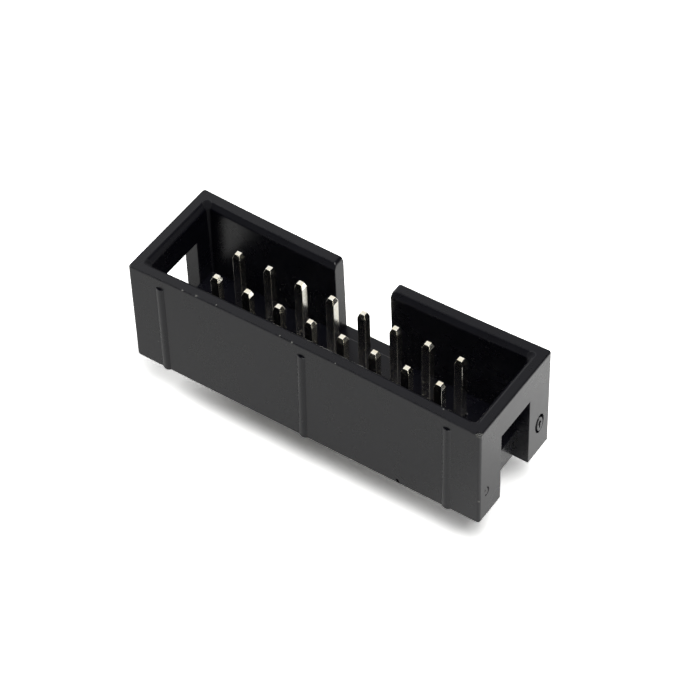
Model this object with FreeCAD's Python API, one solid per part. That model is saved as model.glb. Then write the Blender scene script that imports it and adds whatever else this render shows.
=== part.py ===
import FreeCAD, Part
import math
import os

# Boxed pin header for flat cable sockets, in millimetres.
# Origin: middle of the face that sits on the board. +X along the rows, +Y to the notched wall.

# Contacts, on one square grid
contact_rows = 2
contact_columns = 8
contact_pitch = 2.54
pin_width = 0.64
pin_edge_bevel = 0.04
pin_below_rim = 0.92
pin_tip_flat = 0.38
pin_tip_taper = 0.35
tail_length = 3.0
tail_tip_flat = 0.34
tail_tip_taper = 0.45
pin_hole_clearance = 0.0

# Moulded housing. The walls are measured at the cavity floor.
floor_thickness = 2.25
cavity_depth = 6.48
side_wall = 1.19
end_wall = 1.17
side_room = 1.92
end_room = 3.88
cavity_draft_deg = 0.8
lead_in_width = 0.3
lead_in_depth = 0.4
outer_corner_radius = 0.22
cavity_corner_radius = 0.2

# Shrinkage pulls the middle of both long walls inwards at the rim
plain_wall_bow = 0.19
notched_wall_bow = 0.28

# Polarising notch in the +Y wall
notch_width = 4.46
notch_below_floor = 0.4
notch_rim_radius = 0.25

# Slot in each end wall, open at the base
end_slot_width = 3.5
end_slot_lintel = 2.52

# Upright half-round ribs on the -Y wall
rib_count = 3
rib_spacing = 11.38
rib_width = 0.68
rib_height = 0.15
rib_below_rim = 0.85

# Arrow beside contact 1, sunk in the notched wall
arrow_width = 1.5
arrow_length = 1.3
arrow_depth = 0.12
arrow_above_base = 1.2

# How far a cutting tool reaches past the face that it opens
tool_overrun = 1.0

# Derived sizes
rim_height = floor_thickness + cavity_depth
cavity_half_length = (contact_columns - 1) * contact_pitch / 2 + end_room
cavity_half_width = (contact_rows - 1) * contact_pitch / 2 + side_room
half_length = cavity_half_length + end_wall
half_width = cavity_half_width + side_wall
lead_in_start = rim_height - lead_in_depth
draft_slope = math.tan(math.radians(cavity_draft_deg))
pin_top = rim_height - pin_below_rim


def point(x, y, z):
    return FreeCAD.Vector(x, y, z)


def line(start, end):
    return Part.LineSegment(start, end).toShape()


def span(start, end, sag):
    """Edge between two points at one height; sag moves its middle along Y."""
    if sag == 0:
        return line(start, end)
    middle = (start + end) * 0.5 + point(0, sag, 0)
    return Part.Arc(start, middle, end).toShape()


def corner(centre, radius, first_angle):
    """Quarter circle that turns left from its first angle."""
    angles = [math.radians(first_angle + step) for step in (0, 45, 90)]
    turn = [centre + point(math.cos(a), math.sin(a), 0) * radius for a in angles]
    return Part.Arc(*turn).toShape()


def rounded_section(half_x, half_y, radius, z, front_sag, back_sag):
    """Closed rectangle at height z with round corners; the sags bend its long sides inwards."""
    x = half_x - radius
    y = half_y - radius
    edges = [
        span(point(-x, -half_y, z), point(x, -half_y, z), front_sag),
        corner(point(x, -y, z), radius, -90),
        span(point(half_x, -y, z), point(half_x, y, z), 0),
        corner(point(x, y, z), radius, 0),
        span(point(x, half_y, z), point(-x, half_y, z), -back_sag),
        corner(point(-x, y, z), radius, 90),
        span(point(-half_x, y, z), point(-half_x, -y, z), 0),
        corner(point(-x, -y, z), radius, 180),
    ]
    return Part.Wire(edges)


def block(x_range, y_range, z_range):
    size = [high - low for low, high in (x_range, y_range, z_range)]
    return Part.makeBox(*size, point(x_range[0], y_range[0], z_range[0]))


def wall_section(half_x, half_y, radius, z):
    """Housing section at height z; both long sides carry the bow of that height."""
    share = z / rim_height
    return rounded_section(half_x, half_y, radius, z, plain_wall_bow * share, notched_wall_bow * share)


def bow_at(x, z, rim_bow):
    """How far a bowed wall has moved inwards at one place."""
    return rim_bow * (1 - (x / half_length) ** 2) * z / rim_height


def outer_body():
    base = wall_section(half_length, half_width, outer_corner_radius, 0)
    rim = wall_section(half_length, half_width, outer_corner_radius, rim_height)
    return Part.makeLoft([base, rim], True, True)


def cavity_section(z, widening):
    grow = draft_slope * (z - floor_thickness) + widening
    return wall_section(cavity_half_length + grow, cavity_half_width + grow, cavity_corner_radius, z)


def cavity():
    """Drafted pocket with a bevelled mouth that leads the socket in."""
    mouth_height = rim_height + tool_overrun
    mouth_widening = lead_in_width * (mouth_height - lead_in_start) / lead_in_depth
    floor = cavity_section(floor_thickness, 0)
    shoulder = cavity_section(lead_in_start, 0)
    mouth = cavity_section(mouth_height, mouth_widening)
    return Part.makeLoft([floor, shoulder, mouth], True, True)


def notch():
    """Gap through the +Y wall with rounded rim corners, and the sill below the cavity floor."""
    half = notch_width / 2
    reach = half + notch_rim_radius
    bend = rim_height - notch_rim_radius
    top = rim_height + tool_overrun
    inside = cavity_half_width - notched_wall_bow
    outside = half_width + tool_overrun

    def at(x, z):
        return point(x, inside, z)

    def flare(side):
        slant = notch_rim_radius * math.sqrt(0.5)
        middle = at(side * (reach - slant), bend + slant)
        return Part.Arc(at(side * half, bend), middle, at(side * reach, rim_height)).toShape()

    outline = Part.Wire([
        line(at(-half, floor_thickness), at(half, floor_thickness)),
        line(at(half, floor_thickness), at(half, bend)),
        flare(1),
        line(at(reach, rim_height), at(reach, top)),
        line(at(reach, top), at(-reach, top)),
        line(at(-reach, top), at(-reach, rim_height)),
        flare(-1),
        line(at(-half, bend), at(-half, floor_thickness)),
    ])
    gap = Part.Face(outline).extrude(point(0, outside - inside, 0))
    wall_foot = cavity_half_width - bow_at(0, floor_thickness, notched_wall_bow)
    sill_heights = (floor_thickness - notch_below_floor, floor_thickness)
    sill = block((-half, half), (wall_foot, outside), sill_heights)
    return [gap, sill]


def end_slot(side):
    """Opening through one end wall, from the base up to the lintel."""
    inner = side * cavity_half_length
    outer = side * (half_length + tool_overrun)
    half = end_slot_width / 2
    z_range = (-tool_overrun, rim_height - end_slot_lintel)
    return block(sorted((inner, outer)), (-half, half), z_range)


def rib(x):
    """Half-round rib that follows the lean of the bowed -Y wall."""
    radius = (rib_width ** 2 / 4 + rib_height ** 2) / (2 * rib_height)
    foot = point(x, radius - rib_height - half_width, 0)
    head = foot + point(0, bow_at(x, rim_height, plain_wall_bow), rim_height)
    lean = head - foot
    low = foot - lean * (tool_overrun / rim_height)
    rod = Part.makeCylinder(radius, lean.Length + tool_overrun, low, lean)
    top = rim_height - rib_below_rim
    y_range = (-half_width - tool_overrun, -cavity_half_width - side_wall / 2)
    return rod.common(block((x - radius, x + radius), y_range, (0, top)))


def ribs():
    first = -rib_spacing * (rib_count - 1) / 2
    return [rib(first + index * rib_spacing) for index in range(rib_count)]


def arrow(x):
    """Triangle that points down at the board, cut in from outside the +Y wall."""
    top = arrow_above_base + arrow_length
    y = half_width - bow_at(x, top, notched_wall_bow) - arrow_depth
    corners = [
        point(x, y, arrow_above_base),
        point(x + arrow_width / 2, y, top),
        point(x - arrow_width / 2, y, top),
    ]
    profile = Part.Face(Part.makePolygon(corners + corners[:1]))
    return profile.extrude(point(0, tool_overrun, 0))


def contact_places():
    """Grid places in contact order: odd numbers on the notched side, from the +X end."""
    x_first = (contact_columns - 1) * contact_pitch / 2
    y_first = (contact_rows - 1) * contact_pitch / 2
    for column in range(contact_columns):
        for row in range(contact_rows):
            yield x_first - column * contact_pitch, y_first - row * contact_pitch


def bevelled_square(width, z):
    """Square outline at height z with its four corners cut off."""
    half = width / 2
    flat = half - pin_edge_bevel * width / pin_width
    quarter = [(half, -flat), (half, flat)]
    corners = []
    for _ in range(4):
        corners += [point(x, y, z) for x, y in quarter]
        quarter = [(-y, x) for x, y in quarter]
    return Part.makePolygon(corners + corners[:1])


def square_bar(levels):
    """Upright bar through (width, height) levels, with bevelled long edges."""
    return Part.makeLoft([bevelled_square(width, z) for width, z in levels], True, True)


def pin():
    return square_bar([
        (tail_tip_flat, -tail_length),
        (pin_width, tail_tip_taper - tail_length),
        (pin_width, pin_top - pin_tip_taper),
        (pin_tip_flat, pin_top),
    ])


def pin_hole():
    width = pin_width + 2 * pin_hole_clearance
    return square_bar([(width, -tool_overrun), (width, floor_thickness + tool_overrun)])


def housing():
    body = outer_body().fuse(ribs())
    cuts = [cavity(), *notch(), end_slot(-1), end_slot(1)]
    places = list(contact_places())
    cuts.append(arrow(places[0][0]))
    for x, y in places:
        cuts.append(pin_hole().translated(point(x, y, 0)))
    return body.cut(cuts).removeSplitter()


os.makedirs("parts", exist_ok=True)
housing().exportStep("parts/housing.step")
for number, (x, y) in enumerate(contact_places(), start=1):
    pin().translated(point(x, y, 0)).exportStep(f"parts/pin_{number:02d}.step")
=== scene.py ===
"""Boxed pin header: finishes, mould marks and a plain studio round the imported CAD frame."""
import math

import bmesh
import bpy
from mathutils import Matrix, Vector


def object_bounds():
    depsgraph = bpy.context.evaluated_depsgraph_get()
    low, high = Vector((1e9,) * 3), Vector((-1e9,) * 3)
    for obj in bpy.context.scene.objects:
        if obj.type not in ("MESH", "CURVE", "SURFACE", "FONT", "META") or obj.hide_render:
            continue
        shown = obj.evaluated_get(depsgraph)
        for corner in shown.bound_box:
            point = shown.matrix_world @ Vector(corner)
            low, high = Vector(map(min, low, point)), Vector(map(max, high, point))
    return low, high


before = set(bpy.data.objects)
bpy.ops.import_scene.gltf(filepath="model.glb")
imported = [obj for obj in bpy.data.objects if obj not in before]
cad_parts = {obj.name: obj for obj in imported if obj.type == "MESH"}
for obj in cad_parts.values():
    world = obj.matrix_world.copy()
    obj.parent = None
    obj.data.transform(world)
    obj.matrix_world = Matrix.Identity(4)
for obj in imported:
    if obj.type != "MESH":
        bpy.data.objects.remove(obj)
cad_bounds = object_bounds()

bl_info = {
    "name": "Box Header Dresser",
    "version": (1, 0, 0),
    "blender": (4, 5, 0),
    "location": "3D View > Sidebar > Box Header",
    "description": "Finishes a boxed pin header and sets it in a plain studio",
    "category": "Object",
}

MM = 0.001
HOUSING = "housing"
PIN_PREFIX = "pin_"
MARK_CUTTERS = "mould_mark_cutters"

# Places on the housing, in millimetres
END_FACE_X = 13.94
FRONT_FACE_Y = -4.38
RIM_Z = 8.73
RIB_PLACES_X = (-11.38, 0, 11.38)
CAVITY_CORNER = (12.95, 3.37, 0)
INSERT_PLACE = (END_FACE_X, 3.12, 2.74)
EJECTOR_PLACE = (END_FACE_X, -3.50, 2.46)
RIM_PIT_PLACE = (13.68, -4.17, RIM_Z)

# Sizes of the smaller marks in millimetres, and the ejector's arc in degrees
EJECTOR_RADII = (0.24, 0.34)
EJECTOR_ARC = (-130, 70)
RIM_PIT_RADII = (0.13, 0.13)
RIM_PIT_LINE = 0.05

# Outlines of sunk marks, in millimetres: the insert's arrow and the ejector's dent from the
# middle of their marks, the nick along X and Z on the front face
INSERT_ARROW = [
    (-0.08, -0.42), (0.08, -0.42), (0.08, -0.02), (0.22, -0.02), (0.0, 0.42), (-0.22, -0.02),
    (-0.08, -0.02)]
EJECTOR_DENT = [(-0.23, 0.12), (-0.10, 0.20), (-0.16, 0.34)]
NICK = [(7.64, 0.03), (7.83, 0.03), (7.58, 0.42), (7.40, 0.36)]

# Axes of the marked faces: two directions in the face and the outward one
END_FACE_AXES = (Vector((0, 1, 0)), Vector((0, 0, 1)), Vector((1, 0, 0)))
RIM_AXES = (Vector((1, 0, 0)), Vector((0, 1, 0)), Vector((0, 0, 1)))

# Least angle in degrees at which an outward edge is rounded, or an inward one kept as a crease
HOUSING_EDGE_ANGLE = 32
PIN_EDGE_ANGLE = 15
CREASE_ANGLE = 32

# Rib heads, pin 1 arrow and end slots have crisp edges: centre and reach along X, Y and Z of
# each in millimetres, and the share of the rounding that their edges get
FINE_SHARE = 0.3
FINE_FORMS = [((x, -4.3, 7.88), (0.6, 0.5, 0.25)) for x in RIB_PLACES_X]
FINE_FORMS.append(((8.89, 4.3, 1.85), (1.3, 0.5, 1.2)))
FINE_FORMS += [((x, 0, 3.1), (1.6, 2.2, 4.4)) for x in (-END_FACE_X, END_FACE_X)]

# Lamps of the studio: name, place, target and size in metres, and radiance
LAMPS = [
    ("top_light", (0.12, -0.06, 0.40), (0.01, -0.01, 0), (0.26, 0.28), 6.2),
    ("left_light", (-0.34, -0.01, 0.25), (0, 0, 0), (0.28, 0.26), 3.2),
]

# What the camera turns round, in millimetres
VIEW_TARGET = (0.37, 0.86, 4.0)

# Light flecks on the moulding: place and radius in millimetres, and 1 for a ring or 0
# Some flecks are painted highlights: the ring round the pit at the rim's front right corner and the speck on
# the upright edge below it
DUST_AND_HIGHLIGHT_FLECKS = [
    ((-9.50, -4.22, 8.72), 0.07, 0),
    ((-8.43, -4.12, 8.73), 0.09, 0),
    ((-6.83, -4.09, 8.73), 0.06, 0),
    ((-1.72, -4.07, 8.73), 0.06, 0),
    ((-0.72, -4.15, 8.73), 0.08, 0),
    ((2.69, -4.14, 8.73), 0.05, 0),
    ((10.71, -3.66, 8.73), 0.06, 0),
    ((-9.13, -4.26, 5.07), 0.05, 0),
    ((-11.92, -4.32, 2.42), 0.08, 0),
    ((13.84, -4.29, 8.72), 0.23, 1),
    ((13.90, -4.35, 2.20), 0.11, 0),
    ((7.36, -4.36, 0.10), 0.07, 0),
]


# Settings that a user would change

class HousingSettings(bpy.types.PropertyGroup):
    colour: bpy.props.FloatVectorProperty(
        name="Plastic", description="Colour of the moulded plastic",
        subtype="COLOR", size=3, min=0, max=1, default=(0.0024, 0.0024, 0.0050))
    worn_colour: bpy.props.FloatVectorProperty(
        name="Rubbed edge", description="Colour of the plastic where its edges are rubbed",
        subtype="COLOR", size=3, min=0, max=1, default=(0.014, 0.014, 0.016))
    # This colour paints the dust and the light flecks, among them painted highlights at the front right
    # corner
    speck_colour: bpy.props.FloatVectorProperty(
        name="Dust", description="Colour of the dust and flecks on the plastic",
        subtype="COLOR", size=3, min=0, max=1, default=(0.13, 0.13, 0.12))
    roughness: bpy.props.FloatProperty(
        name="Roughness", description="Roughness of the satin moulded skin",
        subtype="FACTOR", min=0, max=1, default=0.28)
    edge_round: bpy.props.FloatProperty(
        name="Edge radius", description="Width of the rounding on the edges of the moulding",
        subtype="DISTANCE", unit="LENGTH", min=0, default=0.1 * MM, precision=6)
    grain_height: bpy.props.FloatProperty(
        name="Grain height", description="Height of the fine grain that the mould leaves",
        subtype="DISTANCE", unit="LENGTH", min=0, default=0.001 * MM, precision=7)


class PinSettings(bpy.types.PropertyGroup):
    colour: bpy.props.FloatVectorProperty(
        name="Gold", description="Colour of the thin gold plating",
        subtype="COLOR", size=3, min=0, max=1, default=(1.0, 0.985, 0.92))
    dull_colour: bpy.props.FloatVectorProperty(
        name="Dull gold", description="Colour of the plating where it is thin",
        subtype="COLOR", size=3, min=0, max=1, default=(0.88, 0.80, 0.60))
    roughness: bpy.props.FloatProperty(
        name="Roughness", description="Roughness of the plating",
        subtype="FACTOR", min=0, max=1, default=0.14)
    tip_roughness: bpy.props.FloatProperty(
        name="Tip roughness", description="Roughness of the coined flat on each tip",
        subtype="FACTOR", min=0, max=1, default=0.7)
    edge_round: bpy.props.FloatProperty(
        name="Edge radius", description="Width of the rounding on the pins' edges",
        subtype="DISTANCE", unit="LENGTH", min=0, default=0.014 * MM, precision=6)


class MarkSettings(bpy.types.PropertyGroup):
    insert_width: bpy.props.FloatProperty(
        name="Insert width", description="Width of the oval mould insert on the end face",
        subtype="DISTANCE", unit="LENGTH", min=0, default=0.86 * MM, precision=5)
    insert_height: bpy.props.FloatProperty(
        name="Insert height", description="Height of the oval mould insert on the end face",
        subtype="DISTANCE", unit="LENGTH", min=0, default=1.5 * MM, precision=5)
    groove_width: bpy.props.FloatProperty(
        name="Groove width", description="Width of the lines of the mould marks",
        subtype="DISTANCE", unit="LENGTH", min=0, default=0.21 * MM, precision=6)
    groove_depth: bpy.props.FloatProperty(
        name="Groove depth", description="Depth of the mould marks",
        subtype="DISTANCE", unit="LENGTH", min=0, default=0.3 * MM, precision=6)


class StudioSettings(bpy.types.PropertyGroup):
    floor_colour: bpy.props.FloatVectorProperty(
        name="Floor", description="Colour of the table top",
        subtype="COLOR", size=3, min=0, max=1, default=(0.80, 0.80, 0.79))
    floor_radius: bpy.props.FloatProperty(
        name="Floor radius", description="Radius of the round table top",
        subtype="DISTANCE", unit="LENGTH", min=0, default=0.9)
    azimuth: bpy.props.FloatProperty(
        name="Azimuth", description="Turn of the camera round the header",
        subtype="ANGLE", default=math.radians(35.2227))
    elevation: bpy.props.FloatProperty(
        name="Elevation", description="Height of the camera above the horizon",
        subtype="ANGLE", default=math.radians(47.7078))
    roll: bpy.props.FloatProperty(
        name="Roll", description="Turn of the picture about the line of sight",
        subtype="ANGLE", default=math.radians(-1.8504))
    distance: bpy.props.FloatProperty(
        name="Distance", description="Distance from the camera to its target",
        subtype="DISTANCE", unit="LENGTH", default=0.1924)
    lens: bpy.props.FloatProperty(
        name="Lens", description="Focal length in millimetres on a 36 mm sensor", default=147.13)


SETTINGS = {
    "header_housing": HousingSettings,
    "header_pins": PinSettings,
    "header_marks": MarkSettings,
    "header_studio": StudioSettings,
}


# Shader tools

def put(tree, kind, inputs=None, **settings):
    """New node; an input given as a socket is linked, any other value is set."""
    node = tree.nodes.new(kind)
    for name, value in settings.items():
        setattr(node, name, value)
    for key, value in (inputs or {}).items():
        if isinstance(value, bpy.types.NodeSocket):
            tree.links.new(value, node.inputs[key])
        else:
            node.inputs[key].default_value = value
    return node


def maths(tree, operation, first, second=0.0, clamp=False):
    """Output of one sum on numbers or sockets."""
    node = put(tree, "ShaderNodeMath", {0: first, 1: second}, operation=operation, use_clamp=clamp)
    return node.outputs[0]


def blend_colour(tree, factor, first, second):
    """Mix of two colours, each a socket or three numbers."""
    mix = put(tree, "ShaderNodeMix", {"Factor": factor}, data_type="RGBA")
    colour_inputs = mix.inputs[6:8]
    for socket, value in zip(colour_inputs, (first, second)):
        if isinstance(value, bpy.types.NodeSocket):
            tree.links.new(value, socket)
        else:
            socket.default_value = (*value, 1.0)
    return mix.outputs[2]


def remap(tree, value, low, high, to_low, to_high, smooth=False):
    """The value taken from its range low to high to the other one, and held at the ends."""
    kind = "SMOOTHSTEP" if smooth else "LINEAR"
    ranges = {0: value, 1: low, 2: high, 3: to_low, 4: to_high}
    return put(tree, "ShaderNodeMapRange", ranges, interpolation_type=kind).outputs[0]


def node_group(name, inputs, outputs):
    """Empty shader group. Inputs are (name, type, default) and outputs (name, type)."""
    tree = bpy.data.node_groups.new(name, "ShaderNodeTree")
    for label, kind, default in inputs:
        socket = tree.interface.new_socket(label, in_out="INPUT", socket_type=kind)
        socket.default_value = default
    for label, kind in outputs:
        tree.interface.new_socket(label, in_out="OUTPUT", socket_type=kind)
    return tree, tree.nodes.new("NodeGroupInput").outputs, tree.nodes.new("NodeGroupOutput").inputs


def millimetres(tree):
    """The surface point in the header's own frame, in millimetres."""
    place = put(tree, "ShaderNodeTexCoord").outputs["Object"]
    return put(tree, "ShaderNodeVectorMath", {0: place, "Scale": 1 / MM}, operation="SCALE").outputs[0]


def grain_group():
    """Fine grain and broad patches, each with its own scale along X, Y and Z."""
    tree, given, result = node_group(
        "Surface Grain",
        [("Grain Scale", "NodeSocketVector", (12, 12, 12)), ("Patch Scale", "NodeSocketFloat", 0.5)],
        [("Height", "NodeSocketFloat"), ("Patches", "NodeSocketFloat")])
    place = millimetres(tree)
    scaled = put(tree, "ShaderNodeVectorMath", {0: place, 1: given["Grain Scale"]}, operation="MULTIPLY")
    fine = put(tree, "ShaderNodeTexNoise", {"Vector": scaled.outputs[0], "Scale": 1.0, "Detail": 2.0})
    broad = put(tree, "ShaderNodeTexNoise", {
        "Vector": place, "Scale": given["Patch Scale"], "Detail": 4.0, "Roughness": 0.62, "Distortion": 0.6})
    tree.links.new(fine.outputs[0], result["Height"])
    tree.links.new(remap(tree, broad.outputs[0], 0.3, 0.7, 0, 1, smooth=True), result["Patches"])
    return tree


def edge_wear_group():
    """Mask of rubbed outer edges, under which the solid is thin, broken up by noise."""
    tree, given, result = node_group(
        "Edge Wear",
        [("Reach", "NodeSocketFloat", 0.0001), ("Breakup Scale", "NodeSocketFloat", 3.0)],
        [("Mask", "NodeSocketFloat")])
    thin = put(tree, "ShaderNodeAmbientOcclusion", {"Distance": given["Reach"]}, inside=True, samples=4)
    edge = remap(tree, thin.outputs["AO"], 0.85, 0.45, 0, 1)
    noise = put(tree, "ShaderNodeTexNoise", {
        "Vector": millimetres(tree), "Scale": given["Breakup Scale"], "Detail": 5.0, "Roughness": 0.7})
    broken = remap(tree, noise.outputs[0], 0.42, 0.72, 0, 1)
    tree.links.new(maths(tree, "MULTIPLY", edge, broken, clamp=True), result["Mask"])
    return tree


def dust_group():
    """Mask of scattered dust grains."""
    tree, given, result = node_group(
        "Dust",
        [("Grains Per Millimetre", "NodeSocketFloat", 1.2), ("Amount", "NodeSocketFloat", 0.1),
         ("Grain Radius", "NodeSocketFloat", 0.05)],
        [("Mask", "NodeSocketFloat")])
    cells = put(tree, "ShaderNodeTexVoronoi", {
        "Vector": millimetres(tree), "Scale": given["Grains Per Millimetre"]})
    distance = maths(tree, "DIVIDE", cells.outputs["Distance"], given["Grains Per Millimetre"])
    luck = put(tree, "ShaderNodeSeparateColor", {0: cells.outputs["Color"]})
    chosen = maths(tree, "LESS_THAN", luck.outputs[0], given["Amount"])
    radius = maths(tree, "MULTIPLY", given["Grain Radius"], luck.outputs[1])
    inside = maths(tree, "LESS_THAN", distance, radius)
    tree.links.new(maths(tree, "MULTIPLY", chosen, inside), result["Mask"])
    return tree


def fleck_group():
    """Mask of one ragged fleck."""
    tree, given, result = node_group(
        "Fleck",
        [("Centre", "NodeSocketVector", (0, 0, 0)), ("Radius", "NodeSocketFloat", 0.1),
         ("Hollow", "NodeSocketFloat", 0.0)],
        [("Mask", "NodeSocketFloat")])
    place = millimetres(tree)
    wobble = put(tree, "ShaderNodeTexNoise", {"Vector": place, "Scale": 14.0, "Detail": 1.0})
    gap = put(tree, "ShaderNodeVectorMath", {0: place, 1: given["Centre"]}, operation="DISTANCE")
    uneven = remap(tree, wobble.outputs[0], 0.3, 0.7, 0.6, 1.6)
    ragged = maths(tree, "MULTIPLY", gap.outputs["Value"], uneven)
    share = maths(tree, "DIVIDE", ragged, given["Radius"])
    whole = remap(tree, share, 1.1, 0.7, 0, 1, smooth=True)
    middle = remap(tree, share, 0.6, 0.4, 0, given["Hollow"], smooth=True)
    tree.links.new(maths(tree, "SUBTRACT", whole, middle, clamp=True), result["Mask"])
    return tree


GROUP_MAKERS = {
    "Surface Grain": grain_group,
    "Edge Wear": edge_wear_group,
    "Dust": dust_group,
    "Fleck": fleck_group,
}


def use_group(tree, name, inputs):
    """Places a shared group in a material with its own values; the group is made on first use."""
    group = bpy.data.node_groups.get(name) or GROUP_MAKERS[name]()
    node = tree.nodes.new("ShaderNodeGroup")
    node.node_tree = group
    for key, value in inputs.items():
        node.inputs[key].default_value = value
    return node.outputs


def blank_material(name):
    """Material with only a Principled shader joined to its output."""
    material = bpy.data.materials.new(name)
    material.use_nodes = True
    tree = material.node_tree
    tree.nodes.clear()
    shader = tree.nodes.new("ShaderNodeBsdfPrincipled")
    put(tree, "ShaderNodeOutputMaterial", {"Surface": shader.outputs[0]})
    return material, tree, shader


def roughen(tree, roughness, mask, rise):
    """The roughness with a rise where the mask shows, held at 1."""
    return maths(tree, "ADD", roughness, maths(tree, "MULTIPLY", mask, rise), clamp=True)


def cavity_corners(tree):
    """Mask of the four upright corners of the cavity, which a mould leaves duller."""
    mirrored = put(tree, "ShaderNodeVectorMath", {0: millimetres(tree)}, operation="ABSOLUTE")
    plan = put(tree, "ShaderNodeVectorMath", {0: mirrored.outputs[0], 1: (1, 1, 0)}, operation="MULTIPLY")
    away = put(tree, "ShaderNodeVectorMath", {0: plan.outputs[0], 1: CAVITY_CORNER}, operation="DISTANCE")
    all_dull = 0.24
    none_dull = 0.34
    return remap(tree, away.outputs["Value"], all_dull, none_dull, 1, 0, smooth=True)


def moulding_material(look):
    """Satin black plastic with fine grain, rubbed edges, dull cavity corners, dust, and light flecks of
    which some are painted highlights.
    """
    material, tree, shader = blank_material("black_moulding")
    grain = use_group(tree, "Surface Grain", {"Grain Scale": (16, 16, 16), "Patch Scale": 0.45})
    wear = use_group(tree, "Edge Wear", {"Reach": 0.12 * MM, "Breakup Scale": 2.6})["Mask"]
    dust = use_group(tree, "Dust", {
        "Grains Per Millimetre": 0.9, "Amount": 0.05, "Grain Radius": 0.045})["Mask"]
    # The flecks join the dust mask, so from here on it holds both dust and painted highlights
    for centre, radius, hollow in DUST_AND_HIGHLIGHT_FLECKS:
        fleck = use_group(tree, "Fleck", {"Centre": centre, "Radius": radius, "Hollow": hollow})["Mask"]
        dust = maths(tree, "MAXIMUM", dust, fleck)
    dark_patch = Vector(look.colour) * 0.88
    light_patch = Vector(look.colour) * 1.12
    skin = blend_colour(tree, grain["Patches"], dark_patch, light_patch)
    rubbed = blend_colour(tree, wear, skin, look.worn_colour)
    tree.links.new(blend_colour(tree, dust, rubbed, look.speck_colour), shader.inputs["Base Color"])
    smoothest = look.roughness - 0.015
    roughest = look.roughness + 0.02
    patchy = remap(tree, grain["Patches"], 0, 1, smoothest, roughest)
    worn = roughen(tree, patchy, wear, rise=0.12)
    dull = roughen(tree, worn, cavity_corners(tree), rise=0.72)
    tree.links.new(roughen(tree, dull, dust, rise=0.4), shader.inputs["Roughness"])
    bump = put(tree, "ShaderNodeBump", {
        "Height": grain["Height"], "Strength": 1.0, "Distance": look.grain_height})
    tree.links.new(bump.outputs[0], shader.inputs["Normal"])
    shader.inputs["IOR"].default_value = 1.5
    return material


def plating_material(look):
    """Thin light gold: duller in patches, at worn edges and on the coined flats of the tips."""
    material, tree, shader = blank_material("gold_plating")
    grain = use_group(tree, "Surface Grain", {"Grain Scale": (40, 40, 5), "Patch Scale": 2.2})
    wear = use_group(tree, "Edge Wear", {"Reach": 0.04 * MM, "Breakup Scale": 6.0})["Mask"]
    dust = use_group(tree, "Dust", {
        "Grains Per Millimetre": 2.5, "Amount": 0.06, "Grain Radius": 0.03})["Mask"]
    halfway = Vector(look.colour).lerp(look.dull_colour, 0.5)
    tint = blend_colour(tree, grain["Patches"], look.colour, halfway)
    thin = blend_colour(tree, wear, tint, look.dull_colour)
    speck_colour = (0.35, 0.30, 0.22)
    tree.links.new(blend_colour(tree, dust, thin, speck_colour), shader.inputs["Base Color"])
    smoothest = look.roughness - 0.03
    roughest = look.roughness + 0.05
    patchy = remap(tree, grain["Patches"], 0, 1, smoothest, roughest)
    facing = put(tree, "ShaderNodeNewGeometry").outputs["True Normal"]
    upward = put(tree, "ShaderNodeSeparateXYZ", {0: facing}).outputs["Z"]
    coined = remap(tree, upward, 0.90, 0.97, 0, look.tip_roughness - look.roughness)
    dusty = roughen(tree, patchy, dust, rise=0.3)
    tree.links.new(maths(tree, "ADD", dusty, coined, clamp=True), shader.inputs["Roughness"])
    bump = put(tree, "ShaderNodeBump", {
        "Height": grain["Height"], "Strength": 1.0, "Distance": 0.0004 * MM})
    tree.links.new(bump.outputs[0], shader.inputs["Normal"])
    shader.inputs["Metallic"].default_value = 1.0
    return material


# Mesh tools

def add_prism(mesh, outline, along):
    """Closed prism: outline is a list of points, along the vector to its other end."""
    count = len(outline)
    near = [mesh.verts.new(p * MM) for p in outline]
    far = [mesh.verts.new((p + along) * MM) for p in outline]
    mesh.faces.new(near[::-1])
    mesh.faces.new(far)
    for i in range(count):
        j = (i + 1) % count
        mesh.faces.new((near[i], near[j], far[j], far[i]))


def add_pit(mesh, centre, axes, outline, depth):
    """Cutter for a straight pit. The axes are the face's two directions and its outward one; the
    centre lies on the face, and the outline's points are measured from it."""
    near = [centre + axes[0] * a + axes[1] * b - axes[2] * depth for a, b in outline]
    add_prism(mesh, near, axes[2] * depth * 2)


def add_groove(mesh, centre, axes, radii, line, depth, arc=(0, 360), steps=40, swell=0.0):
    """Cutter for a groove of V section along an oval, or along an arc of it, in degrees.
    The axes and the centre are as for a pit. The swell makes one side of the oval heavier."""
    heavy_side = math.radians(125)
    closed = arc[1] - arc[0] >= 360
    count = steps if closed else steps + 1
    turn = [math.radians(arc[0] + (arc[1] - arc[0]) * i / steps) for i in range(count)]
    section = ((0, -1), (1, 1), (-1, 1))
    loops = []
    for widen, rise in section:
        loop = []
        for t in turn:
            share = 1 + swell * math.cos(t - heavy_side)
            a, b = (radius + widen * line * share for radius in radii)
            place = centre + axes[0] * a * math.cos(t) + axes[1] * b * math.sin(t)
            loop.append(mesh.verts.new((place + axes[2] * rise * depth * share) * MM))
        loops.append(loop)
    for here, there in zip(loops, loops[1:] + loops[:1]):
        for i in range(count if closed else count - 1):
            j = (i + 1) % count
            mesh.faces.new((here[i], here[j], there[j], there[i]))
    if not closed:
        mesh.faces.new([loop[0] for loop in loops])
        mesh.faces.new([loop[-1] for loop in loops][::-1])


def add_modifier(obj, kind, name, **settings):
    """New modifier with its settings."""
    modifier = obj.modifiers.new(name, kind)
    for key, value in settings.items():
        setattr(modifier, key, value)
    return modifier


def mesh_tree(name):
    """Geometry nodes with one geometry in and one out."""
    tree = bpy.data.node_groups.new(name, "GeometryNodeTree")
    for way in ("INPUT", "OUTPUT"):
        tree.interface.new_socket("Geometry", in_out=way, socket_type="NodeSocketGeometry")
    return tree


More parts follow.
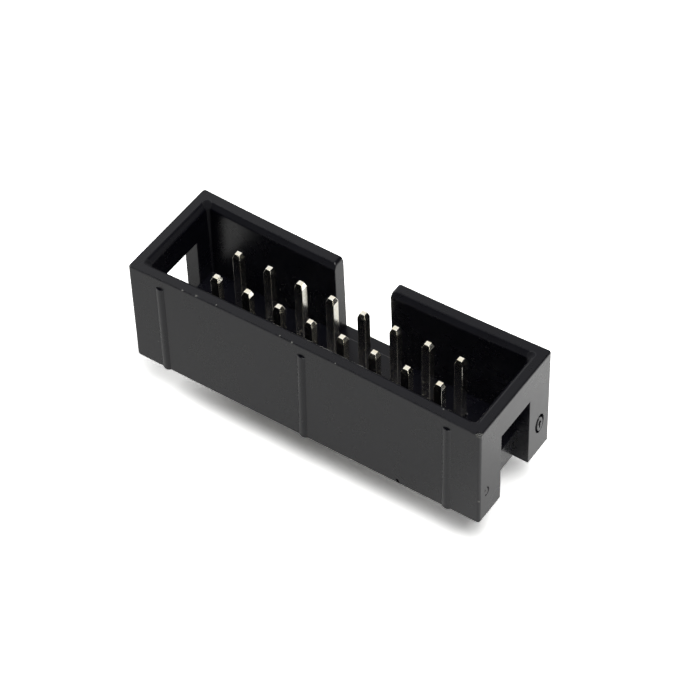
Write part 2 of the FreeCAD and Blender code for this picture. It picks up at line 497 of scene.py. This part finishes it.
def shared_scaling(name, factor):
    """Geometry nodes that scale a mesh about its origin, made once for all pieces."""
    made = bpy.data.node_groups.get(name)
    if made:
        return made
    tree = mesh_tree(name)
    given = tree.nodes.new("NodeGroupInput").outputs["Geometry"]
    scaled = put(tree, "GeometryNodeTransform", {"Geometry": given, "Scale": (factor, factor, factor)})
    put(tree, "NodeGroupOutput", {"Geometry": scaled.outputs[0]})
    return tree


def edge_tree(name):
    """Geometry nodes that take in a mesh, with the signed angle of its edges."""
    tree = mesh_tree(name)
    return tree, tree.nodes.new("GeometryNodeInputMeshEdgeAngle").outputs["Signed Angle"]


def store_on_edges(tree, attribute, value, kind):
    """Writes the value on each edge of the mesh under the attribute's name."""
    given = tree.nodes.new("NodeGroupInput").outputs["Geometry"]
    stored = put(tree, "GeometryNodeStoreNamedAttribute", {
        "Geometry": given, "Name": attribute, "Value": value}, data_type=kind, domain="EDGE")
    put(tree, "NodeGroupOutput", {"Geometry": stored.outputs[0]})


def edge_weights(name, least_angle, fine_forms=()):
    """Geometry nodes that mark the outward edges for rounding. In the fine forms, each a centre
    and a reach along X, Y and Z in millimetres, an edge gets only a share of the rounding."""
    tree, turn = edge_tree(name)
    weight = maths(tree, "GREATER_THAN", turn, math.radians(least_angle))
    place = tree.nodes.new("GeometryNodeInputPosition").outputs[0]
    for centre, reach in fine_forms:
        middle = Vector(centre) * MM
        size = Vector(reach) * MM
        offset = put(tree, "ShaderNodeVectorMath", {0: place, 1: middle}, operation="SUBTRACT")
        share = put(tree, "ShaderNodeVectorMath", {0: offset.outputs[0], 1: size}, operation="DIVIDE")
        length = put(tree, "ShaderNodeVectorMath", {0: share.outputs[0]}, operation="LENGTH")
        outside = maths(tree, "GREATER_THAN", length.outputs["Value"], 1.0)
        weight = maths(tree, "MULTIPLY", weight, maths(tree, "MAXIMUM", outside, FINE_SHARE))
    store_on_edges(tree, "bevel_weight_edge", weight, "FLOAT")
    return tree


def inward_creases(name, least_angle):
    """Geometry nodes that keep the inward edges sharp in the shading."""
    tree, turn = edge_tree(name)
    inward = maths(tree, "LESS_THAN", turn, -math.radians(least_angle))
    store_on_edges(tree, "sharp_edge", inward, "BOOLEAN")
    return tree


def soften_edges(obj, weights, width, segments):
    """Joins the frame's split faces and rounds its edges; the frame's own mesh stays as it is."""
    flat = math.radians(0.3)
    add_modifier(obj, "WELD", "Join frame vertices", merge_threshold=0.0005 * MM)
    add_modifier(obj, "DECIMATE", "Join flat faces", decimate_type="DISSOLVE", angle_limit=flat)
    add_modifier(obj, "NODES", "Edge weights", node_group=weights)
    add_modifier(
        obj, "BEVEL", "Rounded edges", width=width, segments=segments, limit_method="WEIGHT",
        use_clamp_overlap=False, loop_slide=False, miter_outer="MITER_ARC")


def even_shading(obj, creases):
    """Keeps flat faces flat in the shading beside rounded edges. The normals are weighted on a
    mesh in millimetres, because in metres its faces are too small for the modifier to count."""
    add_modifier(obj, "NODES", "Inward creases", node_group=creases)
    add_modifier(obj, "NODES", "To millimetres", node_group=shared_scaling("To Millimetres", 1 / MM))
    add_modifier(obj, "WEIGHTED_NORMAL", "Even shading", keep_sharp=True, weight=80)
    add_modifier(obj, "NODES", "Back to metres", node_group=shared_scaling("Back To Metres", MM))


def mark_cutters(marks):
    """Shapes that are sunk into the moulding: the oval insert with its arrow, the ejector's
    arc, the pit at the rim's corner and the nick at the base."""
    mesh = bmesh.new()
    depth = marks.groove_depth / MM
    line = marks.groove_width / MM
    insert = Vector(INSERT_PLACE)
    radii = (marks.insert_width / MM / 2, marks.insert_height / MM / 2)
    add_groove(mesh, insert, END_FACE_AXES, radii, line, depth, swell=0.6)
    arrow_depth = depth * 3
    add_pit(mesh, insert, END_FACE_AXES, INSERT_ARROW, arrow_depth)
    ejector = Vector(EJECTOR_PLACE)
    arc_line = line * 0.6
    arc_depth = depth * 0.6
    add_groove(mesh, ejector, END_FACE_AXES, EJECTOR_RADII, arc_line, arc_depth, EJECTOR_ARC, steps=20)
    dent_depth = depth * 0.4
    add_pit(mesh, ejector, END_FACE_AXES, EJECTOR_DENT, dent_depth)
    rim_pit = Vector(RIM_PIT_PLACE)
    add_groove(mesh, rim_pit, RIM_AXES, RIM_PIT_RADII, RIM_PIT_LINE, RIM_PIT_LINE, steps=20)
    nick_start = FRONT_FACE_Y - 0.2
    nick_reach = Vector((0, 1.0, 0))
    add_prism(mesh, [Vector((x, nick_start, z)) for x, z in NICK], nick_reach)
    bmesh.ops.recalc_face_normals(mesh, faces=mesh.faces[:])
    data = bpy.data.meshes.new(MARK_CUTTERS)
    mesh.to_mesh(data)
    mesh.free()
    cutters = bpy.data.objects.new(MARK_CUTTERS, data)
    bpy.context.scene.collection.objects.link(cutters)
    cutters.hide_render = True
    cutters.display_type = "BOUNDS"
    return cutters


# Steps that dress the header

class HEADER_OT_mould_marks(bpy.types.Operator):
    """Makes the shapes that the mould leaves sunk in the housing"""
    bl_idname = "header.mould_marks"
    bl_label = "Mould Marks"

    def execute(self, context):
        mark_cutters(context.scene.header_marks)
        return {"FINISHED"}


class HEADER_OT_housing(bpy.types.Operator):
    """Sinks the mould marks, rounds the housing's edges and gives it the satin black moulding"""
    bl_idname = "header.housing"
    bl_label = "Housing"

    def execute(self, context):
        look = context.scene.header_housing
        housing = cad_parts[HOUSING]
        weights = edge_weights("Housing Edge Weights", HOUSING_EDGE_ANGLE, FINE_FORMS)
        soften_edges(housing, weights, look.edge_round, segments=2)
        add_modifier(
            housing, "BOOLEAN", "Mould marks", operation="DIFFERENCE", solver="MANIFOLD",
            object=bpy.data.objects[MARK_CUTTERS])
        even_shading(housing, inward_creases("Housing Creases", CREASE_ANGLE))
        housing.data.materials.clear()
        housing.data.materials.append(moulding_material(look))
        return {"FINISHED"}


class HEADER_OT_pins(bpy.types.Operator):
    """Rounds the edges of the sixteen pins and plates them"""
    bl_idname = "header.pins"
    bl_label = "Pins"

    def execute(self, context):
        look = context.scene.header_pins
        plating = plating_material(look)
        weights = edge_weights("Pin Edge Weights", PIN_EDGE_ANGLE)
        creases = inward_creases("Pin Creases", CREASE_ANGLE)
        for name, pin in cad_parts.items():
            if name.startswith(PIN_PREFIX):
                soften_edges(pin, weights, look.edge_round, segments=3)
                even_shading(pin, creases)
                pin.data.materials.clear()
                pin.data.materials.append(plating)
        return {"FINISHED"}


def floor_material(colour):
    """Matt white table top. Glossy surfaces see painted light and shade on it: painted shade towards the
    front and the left, painted light towards the right and the back. The camera sees it white, with its
    shadow lifted by a painted glow that grows towards the right."""
    material = bpy.data.materials.new("studio_floor")
    material.use_nodes = True
    tree = material.node_tree
    tree.nodes.clear()
    place = millimetres(tree)
    right_and_back = (0.85, 0.53, 0)
    distance = put(tree, "ShaderNodeVectorMath", {0: place, 1: right_and_back}, operation="DOT_PRODUCT")
    along = distance.outputs["Value"]
    white = Vector(colour)
    # Painted shade and light for reflections: glossy rays see the floor darker at the front and left,
    # brighter towards the right and back
    painted_shade_in_gloss = white * 0.84
    painted_light_in_gloss = white * 2.0
    camera_white = white * 2.4
    seen_in_gloss = blend_colour(tree, remap(tree, along, 2, 24, 0, 1), painted_shade_in_gloss, painted_light_in_gloss)
    rays = put(tree, "ShaderNodeLightPath").outputs
    top = blend_colour(tree, rays["Is Glossy Ray"], white, seen_in_gloss)
    seen = blend_colour(tree, rays["Is Camera Ray"], top, camera_white)
    matt = put(tree, "ShaderNodeBsdfDiffuse", {"Color": seen})
    # Painted light: a glow that only the camera sees, stronger towards the right, lifts the floor's shadow
    lift = maths(tree, "MULTIPLY", rays["Is Camera Ray"], remap(tree, along, -2, 10, 0.04, 0.15))
    painted_glow = put(tree, "ShaderNodeEmission", {"Strength": lift})
    lifted = put(tree, "ShaderNodeAddShader", {0: matt.outputs[0], 1: painted_glow.outputs[0]})
    clear = put(tree, "ShaderNodeBsdfTransparent")
    behind = put(tree, "ShaderNodeNewGeometry").outputs["Backfacing"]
    shown = put(tree, "ShaderNodeMixShader", {0: behind, 1: lifted.outputs[0], 2: clear.outputs[0]})
    put(tree, "ShaderNodeOutputMaterial", {"Surface": shown.outputs[0]})
    return material


def studio_floor(look):
    """Round table top that the solder tails stand on."""
    mesh = bmesh.new()
    bmesh.ops.create_circle(mesh, cap_ends=True, segments=96, radius=look.floor_radius)
    bmesh.ops.translate(mesh, verts=mesh.verts[:], vec=(0, 0, cad_bounds[0].z))
    data = bpy.data.meshes.new("studio_floor")
    mesh.to_mesh(data)
    mesh.free()
    floor = bpy.data.objects.new("studio_floor", data)
    bpy.context.scene.collection.objects.link(floor)
    data.materials.append(floor_material(look.floor_colour))


def soft_lamp(name, place, target, size, radiance):
    """Rectangular area lamp of the given radiance, turned to its target."""
    data = bpy.data.lights.new(name, "AREA")
    data.shape = "RECTANGLE"
    data.size, data.size_y = size
    data.energy = radiance * math.pi * size[0] * size[1]
    lamp = bpy.data.objects.new(name, data)
    bpy.context.scene.collection.objects.link(lamp)
    lamp.location = place
    lamp.rotation_mode = "QUATERNION"
    lamp.rotation_quaternion = (Vector(target) - Vector(place)).to_track_quat("-Z", "Y")


def studio_world():
    """Soft surround: bright at the upper left, pale at the horizon, dark elsewhere. The camera
    sees it white."""
    world = bpy.data.worlds.new("studio")
    bpy.context.scene.world = world
    world.use_nodes = True
    tree = world.node_tree
    tree.nodes.clear()
    direction = put(tree, "ShaderNodeTexCoord").outputs["Generated"]
    upper_left = (-0.66, 0.42, 0.62)
    towards = put(tree, "ShaderNodeVectorMath", {0: direction, 1: upper_left}, operation="DOT_PRODUCT")
    bright_side = remap(tree, towards.outputs["Value"], 0.86, 1.0, 0.05, 0.88)
    height = put(tree, "ShaderNodeSeparateXYZ", {0: direction}).outputs["Z"]
    horizon = remap(tree, height, 0.05, 0.4, 0.45, 0.05, smooth=True)
    light = maths(tree, "MAXIMUM", bright_side, horizon)
    seen = put(tree, "ShaderNodeLightPath").outputs["Is Camera Ray"]
    strength = put(tree, "ShaderNodeMix", {0: seen, 2: light, 3: 1.0}, data_type="FLOAT").outputs[0]
    back = put(tree, "ShaderNodeBackground", {"Color": (1, 1, 1, 1), "Strength": strength})
    put(tree, "ShaderNodeOutputWorld", {"Surface": back.outputs[0]})


def place_camera(look):
    """Camera turned round its target by azimuth, elevation and roll."""
    a = look.azimuth
    e = look.elevation
    r = look.roll
    back = Vector((math.sin(a) * math.cos(e), -math.cos(a) * math.cos(e), math.sin(e)))
    level = Vector((math.cos(a), math.sin(a), 0))
    upright = back.cross(level)
    right = level * math.cos(r) + upright * math.sin(r)
    up = back.cross(right)
    data = bpy.data.cameras.new("camera")
    data.sensor_width = 36
    data.lens = look.lens
    data.clip_start = 0.01
    data.clip_end = 10
    camera = bpy.data.objects.new("camera", data)
    bpy.context.scene.collection.objects.link(camera)
    turn = Matrix((right, up, back)).transposed().to_4x4()
    camera.matrix_world = Matrix.Translation(Vector(VIEW_TARGET) * MM + back * look.distance) @ turn
    bpy.context.scene.camera = camera


class HEADER_OT_studio(bpy.types.Operator):
    """Sets the table top, the lamps, the surround and the camera"""
    bl_idname = "header.studio"
    bl_label = "Studio"

    def execute(self, context):
        look = context.scene.header_studio
        studio_floor(look)
        studio_world()
        for name, place, target, size, radiance in LAMPS:
            soft_lamp(name, place, target, size, radiance)
        place_camera(look)
        context.scene.view_settings.view_transform = "Standard"
        return {"FINISHED"}


class HEADER_PT_panel(bpy.types.Panel):
    """Lists the steps that dress the header"""
    bl_idname = "HEADER_PT_panel"
    bl_label = "Box Header"
    bl_space_type = "VIEW_3D"
    bl_region_type = "UI"
    bl_category = "Box Header"

    def draw(self, context):
        for holder in SETTINGS:
            box = self.layout.box()
            settings = getattr(context.scene, holder)
            for name in settings.__annotations__:
                box.prop(settings, name)
        for operator in OPERATORS:
            self.layout.operator(operator.bl_idname)


OPERATORS = (
    HEADER_OT_mould_marks,
    HEADER_OT_housing,
    HEADER_OT_pins,
    HEADER_OT_studio,
)


def register():
    for kind in (*SETTINGS.values(), *OPERATORS, HEADER_PT_panel):
        bpy.utils.register_class(kind)
    for holder, kind in SETTINGS.items():
        setattr(bpy.types.Scene, holder, bpy.props.PointerProperty(type=kind))


def unregister():
    for holder in SETTINGS:
        delattr(bpy.types.Scene, holder)
    for kind in (HEADER_PT_panel, *reversed(OPERATORS), *SETTINGS.values()):
        bpy.utils.unregister_class(kind)


def main():
    """Runs every step in order."""
    register()
    bpy.ops.header.mould_marks()
    bpy.ops.header.housing()
    bpy.ops.header.pins()
    bpy.ops.header.studio()


if __name__ == "__main__":
    main()
